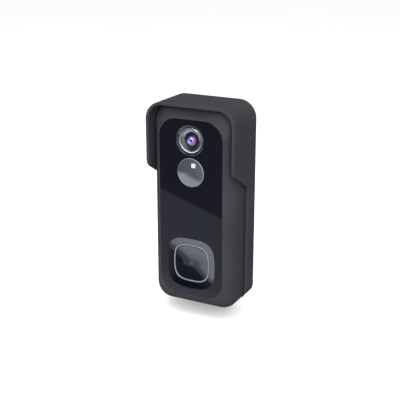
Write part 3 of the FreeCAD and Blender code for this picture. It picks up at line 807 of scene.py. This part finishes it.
barrel_black = moulded_plastic("barrel_black", (0.005, 0.005, 0.012), (0.05, 0.05, 0.06),
                               0.25, 5000, 0.004 * mm, shine=0.3)
finish_nodes(barrel_black, "lens_barrel", "pir_shroud")


def greys(tree, share, *levels):
    """A run of greys that a grey value picks from."""
    return shades(tree, share, *[(level, level, level) for level in levels])


def glass_with_painted_reflections(name, height, radius):
    """A coated front lens with its reflections painted into its colour: painted reflection tints turn
    from indigo through teal, rose and violet round a dark pupil, a painted pale highlight rings the
    pupil, and the colour ends in near black at the rim."""
    material, tree, shader, place = new_finish(name)
    parts = add_node(tree, "SeparateXYZ", Vector=place)
    up = figure(tree, "Math", "SUBTRACT", parts.outputs["Z"], height)
    face = add_node(tree, "CombineXYZ", X=parts.outputs["X"], Y=up).outputs["Vector"]
    round_it = add_node(tree, "TexGradient", Vector=face)
    round_it.gradient_type = "RADIAL"
    # painted reflection: the coating's coloured reflections laid into the base colour by angle round
    # the lens
    painted_reflection_tints = shades(tree, round_it.outputs["Fac"], (0.020, 0.012, 0.30), (0.050, 0.42, 0.62),
                     (0.008, 0.040, 0.10), (0.012, 0.006, 0.09), (0.45, 0.11, 0.36),
                     (0.34, 0.26, 0.70), (0.12, 0.11, 0.62), (0.20, 0.008, 0.26),
                     (0.020, 0.012, 0.30))
    cloud = noise(tree, place, 420, 2)
    pupil = (radius * 0.06, -radius * 0.07, 0)
    reach = figure(tree, "VectorMath", "DISTANCE", face, pupil)
    out = figure(tree, "Math", "ADD", spread(tree, reach, 0, 1, 0, radius),
                 spread(tree, cloud, -0.05, 0.05, 0.3, 0.7))
    # pale: a painted highlight ring round the pupil; clear: where the painted colours show, dark at the
    # pupil and at the rim
    pale = greys(tree, out, 0, 0.15, 0.5, 0.2, 0, 0, 0, 0)
    clear = greys(tree, out, 0, 0.05, 0.8, 1, 0.8, 0.28, 0.02, 0)
    inner = mixed(tree, pale, painted_reflection_tints, (0.55, 0.46, 0.86, 1))
    feed(shader, Base_Color=mixed(tree, clear, (0.004, 0.004, 0.022, 1), inner),
         Roughness=spread(tree, cloud, 0.02, 0.06), IOR=1.5, Coat_Weight=1.0, Coat_Roughness=0.01)
    return material


lens_radius = 4.18 * mm
lens_back = 30.1 * mm
lens_edge = 31.9 * mm
lens_rise = 1.1 * mm
lens_steps = 12
lens_tip = 0.02 * mm
ball = (lens_radius ** 2 + lens_rise ** 2) / (2 * lens_rise)
lens_glass = glass_with_painted_reflections("lens_painted_reflections", camera_height, lens_radius)
profile = [(lens_radius, lens_back)]
for step in range(lens_steps + 1):
    radius = lens_radius * (1 - step / lens_steps) + lens_tip
    out = math.sqrt(ball ** 2 - min(radius, lens_radius) ** 2)
    profile.append((radius, lens_edge + lens_rise - ball + out))
bm, made = turned(camera_height, profile, count=64, closed=False)
bm.faces.new(made[0])
bm.faces.new(made[-1])
front_lens = make_piece(bm, "camera_front_lens", lens_glass)
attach(front_lens, "doorbell")
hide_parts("front_lens")
inner_glass = clear_resin("inner_glass", (0.95, 0.96, 1.0), 0.03)
filter_glass = clear_resin("filter_glass", (0.35, 0.55, 0.80), 0.04)
finish_nodes(inner_glass, "middle_lens", "rear_lens")
finish_nodes(filter_glass, "ir_filter")


# ---- motion sensor ----
# A domed window of smoky polyethylene over the heat sensor, moulded with fine lens rings on its
# inside, pressed up through the panel from behind.


def milky_window(name, height, radius):
    """Smoky milky plastic, with the inner lens rings showing faintly through and a painted highlight, a
    pale ring, round its edge.
    """
    material, tree, shader, place = new_finish(name)
    middle = about(tree, place, height)
    rings = round_lines(tree, middle, 260, Distortion=0.2)
    cloud = noise(tree, place, 160, 3)
    milk = shades(tree, cloud, (0.034, 0.037, 0.050), (0.048, 0.052, 0.067))
    ringed = mixed(tree, spread(tree, rings, 0, 0.10), milk, (0.20, 0.21, 0.25, 1))
    # painted highlight: the dome's rounded edge is coloured pale
    edge = spread(tree, figure(tree, "VectorMath", "LENGTH", middle), 0, 1,
                  radius - 0.4 * mm, radius - 0.15 * mm)
    feed(shader, Base_Color=mixed(tree, edge, ringed, (0.27, 0.28, 0.31, 1)),
         Roughness=spread(tree, cloud, 0.05, 0.10), IOR=1.54, Coat_Weight=0.8, Coat_Roughness=0.03)
    relief(shader, rings, 0.002 * mm)
    return material


pir_radius = 10.1 * mm
pir_rise = 1.8 * mm
pir_wall = 1.1 * mm
pir_round = 0.5 * mm
pir_flange = 11.5 * mm
pir_flange_back = floor_back - 0.9 * mm
pir_tip = 0.02 * mm
facet_in = 0.08 * mm
facet_back = 0.12 * mm
pir_ball = (pir_radius ** 2 + pir_rise ** 2) / (2 * pir_rise)
pir_centre = panel_plane + pir_rise - pir_ball


def dome(ball_radius, edge, steps=14):
    """(radius, depth) points up a dome, from its edge to its middle."""
    reach = math.asin(edge / ball_radius)
    points = []
    for step in range(steps + 1):
        turn = reach * (1 - step / steps)
        points.append((max(ball_radius * math.sin(turn), pir_tip),
                       pir_centre + ball_radius * math.cos(turn)))
    return points


def shoulder(steps=5):
    """(radius, depth) points of the dome's rounded edge, from its side to where the dome begins."""
    start = dome(pir_ball, pir_radius - pir_round)[0][1] - pir_round
    return [(pir_radius - a * pir_round, start + (1 - b) * pir_round)
            for a, b in quarter(steps)][:-1]


under_dome = dome(pir_ball - pir_wall, pir_radius - pir_wall)
profile = []
for number, (radius, depth) in enumerate(under_dome):
    profile.append((radius, depth))
    if 0 < number < len(under_dome) - 1:
        profile.append((radius - facet_in, depth - facet_back))
profile.reverse()
profile += [(pir_radius - pir_wall, pir_flange_back), (pir_flange, pir_flange_back),
            (pir_flange, floor_back), (pir_radius, floor_back)]
profile += shoulder() + dome(pir_ball, pir_radius - pir_round)
bm, made = turned(pir_height, profile, closed=False)
bm.faces.new(made[0])
bm.faces.new(made[-1])
pir_milk = milky_window("pir_milk", pir_height, pir_radius)
pir_window = make_piece(bm, "motion_sensor_window", pir_milk, sharp=25)
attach(pir_window, "doorbell")
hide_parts("pir_lens")


# ---- front panel ----
# A polished black acrylic plate in the housing's recess, held by a frame of tape. Round openings
# for the camera and the sensor, a large soft-cornered one for the button; polished edges.

tape_thick = 0.3 * mm
panel_back = floor_front + tape_thick
panel_edge = 0.25 * mm
hole_edge = 0.12 * mm
dish_half = 18.8 * mm
camera_opening = 10.75 * mm
sensor_opening = 10.25 * mm
panel_black = lacquer("panel_black", (0.0030, 0.0033, 0.0060), 0.02, 0.004 * mm, 28)


def panel_ring(inset, depth):
    """The panel's outline, pulled in evenly."""
    return plain_ring(panel_half - inset, panel_low_corner.z + inset, panel_high_corner.z - inset,
                      panel_corner - inset, depth)


rings = [panel_ring(0, panel_back)]
rings += [panel_ring(a * panel_edge, panel_plane - b * panel_edge) for a, b in quarter(4)]
bm, made = loft(rings)
openings = []
for size, height in ((camera_opening, camera_height), (sensor_opening, pir_height),
                     (dish_half + panel_gap, button_height)):
    loops = []
    for grown, depth in [(hole_edge * a, panel_plane - hole_edge * b)
                         for a, b in reversed(quarter(3))] + [(0, panel_back)]:
        if height == button_height:
            loops.append(squircle(size + grown, depth))
        else:
            loops.append(circle(size + grown, depth, height, count=96))
    openings.append(hole_through(bm, *loops))
fill_flat(bm, made[-1], *[front for front, back in openings])
fill_flat(bm, made[0], *[back for front, back in openings])
panel = make_piece(bm, "front_panel_plate", panel_black)
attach(panel, "doorbell")
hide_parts("front_panel")
tape = soft_rubber("tape_black", (0.02, 0.02, 0.021), 0.7)
finish_nodes(tape, "panel_tape")


# ---- button dish ----
# A polished black bowl set in the panel, sinking evenly towards the button.

dish_sink = 0.9 * mm
dish_edge = 0.14 * mm
dish_land = 0.1 * mm
dish_back = floor_front + 0.02 * mm
dish_hole = ring_half + panel_gap
bowl_steps = 8
dish_rings = [squircle(dish_half, dish_back)]
dish_rings += [squircle(dish_half - a * dish_edge, panel_plane - b * dish_edge)
               for a, b in quarter(3)]
bowl_start = dish_half - dish_edge - dish_land
bowl_end = dish_hole + dish_land
for step in range(bowl_steps + 1):
    share = step / bowl_steps
    sink = dish_sink * (1.25 * share - 0.25 * share ** 2)
    dish_rings.append(squircle(bowl_start + (bowl_end - bowl_start) * share, panel_plane - sink))
dish_rings.append(squircle(dish_hole, panel_plane - dish_sink - dish_land))
dish_rings.append(squircle(dish_hole, dish_back))
bm, made = loft(dish_rings, closed=True)
button_black = lacquer("button_black", (0.0020, 0.0025, 0.0050), 0.03, 0.006 * mm, 60, coat=0.6)
dish = make_piece(bm, "button_bowl", button_black)
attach(dish, "doorbell")
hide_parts("button_dish")


# ---- light ring ----
# A light guide of milky clear plastic: a flange behind the recess's floor that takes in the lamps'
# light, and a thin rounded rim that shows it round the button.

ring_line = 0.9 * mm
ring_top = panel_plane - dish_sink + 0.1 * mm
web_back = 28.1 * mm
web_front = 28.9 * mm
web_half = 16 * mm
hub_radius = 6.5 * mm
ring_round = 0.3 * mm
ring_rings = [squircle(ring_half, web_front)]
ring_rings += [squircle(ring_half - a * ring_round, ring_top - b * ring_round)
               for a, b in quarter(4)]
ring_rings += [squircle(ring_half - ring_line + a * ring_round, ring_top - b * ring_round)
               for a, b in reversed(quarter(4))]
ring_rings.append(squircle(ring_half - ring_line, web_front))
ring_rings += [circle(hub_radius, depth, button_height, count=squircle_count)
               for depth in (web_front, web_back)]
ring_rings += [squircle(web_half, depth) for depth in (web_back, web_front)]
bm, made = loft(ring_rings, closed=True)


def light_guide(name):
    """Milky clear plastic with tiny scattering grains."""
    material, tree, shader, place = new_finish(name)
    grains = noise(tree, place, 2600, 4)
    feed(shader, Base_Color=shades(tree, grains, (0.15, 0.155, 0.175), (0.21, 0.215, 0.24)),
         Roughness=spread(tree, grains, 0.10, 0.22), Subsurface_Weight=0.4,
         Subsurface_Radius=(0.8 * mm, 0.8 * mm, 0.8 * mm), Subsurface_Scale=1.0, Coat_Weight=0.6)
    relief(shader, grains, 0.004 * mm)
    return material


ring = make_piece(bm, "button_light_ring", light_guide("light_guide"))
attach(ring, "doorbell")
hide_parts("light_ring")


# ---- button cap ----
# The push button: a polished black cap, dished to fit a fingertip, on a stem that reaches the
# switch. A small bell sign is printed in its middle.

cap_half = 12.75 * mm
cap_rim = panel_plane - 1.0 * mm
cap_middle = panel_plane - 1.9 * mm
cap_back = 30.4 * mm
cap_back_edge = 0.1 * mm
cap_edge = 0.22 * mm
stem_radius = 1.6 * mm
stem_end = -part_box("button_cap")[1].y
cap_steps = 12


def cap_depth(share):
    """Depth of the dished face, from the middle (0) to the rim (1)."""
    return cap_middle + (cap_rim - cap_middle) * share ** 2


cap_rings = [circle(stem_radius, stem_end, button_height, count=squircle_count),
             circle(stem_radius, cap_back, button_height, count=squircle_count),
             squircle(cap_half - cap_back_edge, cap_back),
             squircle(cap_half, cap_back + cap_back_edge)]
cap_rings += [squircle(cap_half - a * cap_edge, cap_rim - b * cap_edge) for a, b in quarter(4)]
for step in range(1, cap_steps):
    share = (1 - step / cap_steps) * (cap_half - cap_edge) / cap_half
    cap_rings.append(squircle(cap_half * share, cap_depth(share)))
bm, made = loft(cap_rings)
bm.faces.new(made[0])
tip = bm.verts.new((0, -cap_middle, button_height))
for index in range(squircle_count):
    bm.faces.new((made[-1][index - 1], made[-1][index], tip)).smooth = True
cap = make_piece(bm, "button_cap_dished", button_black)
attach(cap, "button")
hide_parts("button_cap")

sign_size = 2.3 * mm
sign_lift = 0.03 * mm
bell_right = ((0.0, 1.0), (0.22, 0.93), (0.30, 0.78), (0.52, 0.62), (0.62, 0.35), (0.64, 0.0),
              (0.72, -0.28), (0.92, -0.50), (0.92, -0.62))
clapper = [(0.26 * math.cos(math.radians(a)), -0.74 + 0.22 * math.sin(math.radians(a)))
           for a in range(-180, 1, 20)]


def printed(bm, points):
    """A thin printed patch that lies on the dished cap."""
    top, under = [], []
    for x, z in points:
        share = math.hypot(x, z) * sign_size / cap_half
        place = (x * sign_size, -cap_depth(share) - sign_lift, button_height + z * sign_size)
        top.append(bm.verts.new(place))
        under.append(bm.verts.new((place[0], place[1] + 2 * sign_lift, place[2])))
    bm.faces.new(top)
    bm.faces.new(list(reversed(under)))
    for index in range(len(top)):
        bm.faces.new((top[index - 1], top[index], under[index], under[index - 1]))


bm = bmesh.new()
bell_left = [(-x, z) for x, z in reversed(bell_right[1:])]
printed(bm, list(bell_right) + bell_left)
printed(bm, clapper)


def sign_ink(name, colour):
    """Pad-printed ink, slightly uneven."""
    material, tree, shader, place = new_finish(name)
    cover_up = noise(tree, place, 3000, 4)
    feed(shader, Base_Color=shades(tree, cover_up, [c * 0.8 for c in colour], colour),
         Roughness=spread(tree, cover_up, 0.35, 0.5))
    relief(shader, cover_up, 0.004 * mm)
    return material


sign = make_piece(bm, "bell_sign", sign_ink("sign_ink", (0.030, 0.032, 0.040)))
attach(sign, "button")


# ---- floor, lights and camera ----
# A pale table top just below the foot, so that the open flap clears it, in even room light with four
# soft boxes. What shines in the gloss is a light wall low on the left, a paler room on the right, and
# the dark of the studio between and above them.

table_half = 8.0
flap_room = 8 * mm
corners = ((-1, -1), (1, -1), (1, 1), (-1, 1))
floor_mesh = bpy.data.meshes.new("table_top")
floor_mesh.from_pydata([(x * table_half, y * table_half, foot - flap_room) for x, y in corners],
                       [], [(0, 1, 2, 3)])
floor = put_in_scene("table_top", floor_mesh)
floor.visible_glossy = False
floor.visible_diffuse = False
material, tree, shader, place = new_finish("table_paint")
feed(shader, Roughness=0.8, Base_Color=shades(tree, noise(tree, place, 6, 3),
                                              (0.955, 0.955, 0.96), (0.985, 0.985, 0.99)))
floor_mesh.materials.append(material)

middle = Vector((3.05 * mm, -25.0 * mm, 6.2 * mm))
around = 27.4
above = 18.5
distance = 597.5 * mm


def toward(azimuth, elevation):
    """A unit step from the doorbell, by azimuth from straight in front and height, in degrees."""
    side, rise = math.radians(azimuth), math.radians(elevation)
    return Vector((math.sin(side) * math.cos(rise), -math.cos(side) * math.cos(rise),
                   math.sin(rise)))


def aim(thing, azimuth, elevation, reach):
    """Sets a lamp or the camera at a distance, looking at the doorbell's middle."""
    back = toward(azimuth, elevation)
    thing.location = middle + back * reach
    thing.rotation_mode = "QUATERNION"
    thing.rotation_quaternion = (-back).to_track_quat("-Z", "Y")


def add_light(name, size, power, azimuth, elevation, reach):
    """A flat soft light that looks at the doorbell."""
    data = bpy.data.lights.new(name, "AREA")
    data.shape = "RECTANGLE"
    data.size, data.size_y = size
    data.energy = power
    lamp = put_in_scene(name, data)
    aim(lamp, azimuth, elevation, reach)
    lamp.visible_camera = False
    return lamp


add_light("window_softbox", (0.20, 0.195), 1.3, -15.4, 5.8, 1.0)
add_light("right_softbox", (0.55, 0.55), 1.3, 61, 46, 1.0)
add_light("top_softbox", (0.8, 0.8), 5.2, -20, 75, 1.1).visible_glossy = False
add_light("front_fill", (0.9, 0.9), 17.5, 30, 16, 1.2).visible_glossy = False

world = bpy.data.worlds.new("studio")
bpy.context.scene.world = world
world.use_nodes = True
sky = world.node_tree
room = sky.nodes["Background"]
direction = add_node(sky, "TexCoord").outputs["Generated"]


def facing(axis):
    """How nearly a direction points along an axis, from -1 to 1."""
    return figure(sky, "VectorMath", "DOT_PRODUCT", direction, axis)


edge_low, edge_high = toward(-25.8, -19.8), toward(-30.1, -17.7)
crisp = 0.0004
wall_top = 0.262
full_glow = 0.2143
past_edge = facing(edge_low.cross(edge_high).normalized())
level_edge = spread(sky, facing((0, 0, -1)), -2 * wall_top, 2 - 2 * wall_top)
on_wall = figure(sky, "Math", "MULTIPLY", spread(sky, past_edge, 0, 1, -crisp, crisp),
                 spread(sky, level_edge, 0, 1, -0.01, 0.03))
depth_in = figure(sky, "Math", "MINIMUM", past_edge, level_edge)
wall_glow = shades(sky, spread(sky, depth_in, 0, 1, 0, full_glow), (0.54, 0.56, 0.66),
                   (0.62, 0.64, 0.76), (1.6, 1.65, 1.95), (2.0, 2.1, 2.4))
aside = figure(sky, "Math", "MAXIMUM", spread(sky, facing((-1, 0, 0)), 0, 1, 0.60, 0.72),
               spread(sky, facing((0, -1, 0)), 0, 1, 0.15, 0.38))
wall_glow = mixed(sky, aside, (0.25, 0.26, 0.30, 1), wall_glow)
above_wall = shades(sky, spread(sky, past_edge, 0, 1, -0.2, 0), (0.03, 0.032, 0.038),
                    (0.08, 0.085, 0.10), (0.12, 0.125, 0.15), (0.14, 0.145, 0.17))
light_wall = mixed(sky, on_wall, above_wall, wall_glow)
pale_room = spread(sky, facing((1, 0, 0)), 0.0, 0.75, -0.28, 0.25)
lighter = add_node(sky, "MixRGB", Fac=1.0, Color1=light_wall, Color2=pale_room)
lighter.blend_type = "LIGHTEN"
in_front = spread(sky, facing((0, -1, 0)), 0.0, 1.0, -0.25, 0.15)
in_gloss = mixed(sky, in_front, (0.24, 0.24, 0.26, 1), lighter.outputs["Color"])
gloss_room = add_node(sky, "Background", Color=in_gloss, Strength=1.0)
path = add_node(sky, "LightPath")
room_light = spread(sky, facing((0, 0, 1)), 0.12, 1.0, -0.1, 0.1)
feed(room, Color=figure(sky, "Math", "MAXIMUM", room_light, path.outputs["Is Camera Ray"]))
choice = add_node(sky, "MixShader", Fac=path.outputs["Is Glossy Ray"])
plug(choice.inputs[1], room.outputs["Background"])
plug(choice.inputs[2], gloss_room.outputs["Background"])
feed(sky.nodes["World Output"], Surface=choice.outputs["Shader"])

lens = bpy.data.cameras.new("camera")
lens.lens = 77.67
lens.sensor_width = 36
lens.clip_start = 0.01
viewpoint = put_in_scene("camera", lens)
aim(viewpoint, around, above, distance)
bpy.context.scene.camera = viewpoint
bpy.context.scene.view_settings.view_transform = "Standard"
